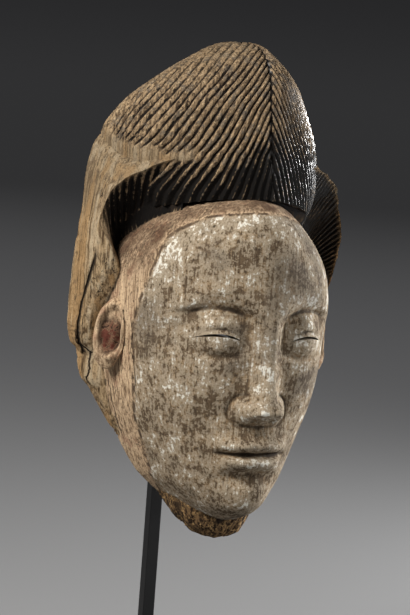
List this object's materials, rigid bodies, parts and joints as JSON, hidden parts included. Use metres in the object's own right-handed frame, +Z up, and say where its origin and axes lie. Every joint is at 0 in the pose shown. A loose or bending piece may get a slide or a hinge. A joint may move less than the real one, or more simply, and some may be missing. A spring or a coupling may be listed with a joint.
{
  "type": "carved wooden face mask on a display stand",
  "caption": "White-faced carved wooden mask with a tall ridged hairdress, hollow behind, held upright by a black steel rod on a flat foot.",
  "frame": {"origin": "middle of the underside of the stand's foot", "axes": "+Z up, the face looks along -Y, the mask's own left is +X"},
  "size_m": [0.1742, 0.17, 0.428],
  "materials": {
    "carved_wood": "old matt wood, worn white pigment on the face, black in the hair, traces of red",
    "black_steel": "satin black paint"
  },
  "bodies": {
    "root": {"mask": "carved_wood", "stand_rod": "black_steel", "stand_base": "black_steel"}
  },
  "joints": []
}
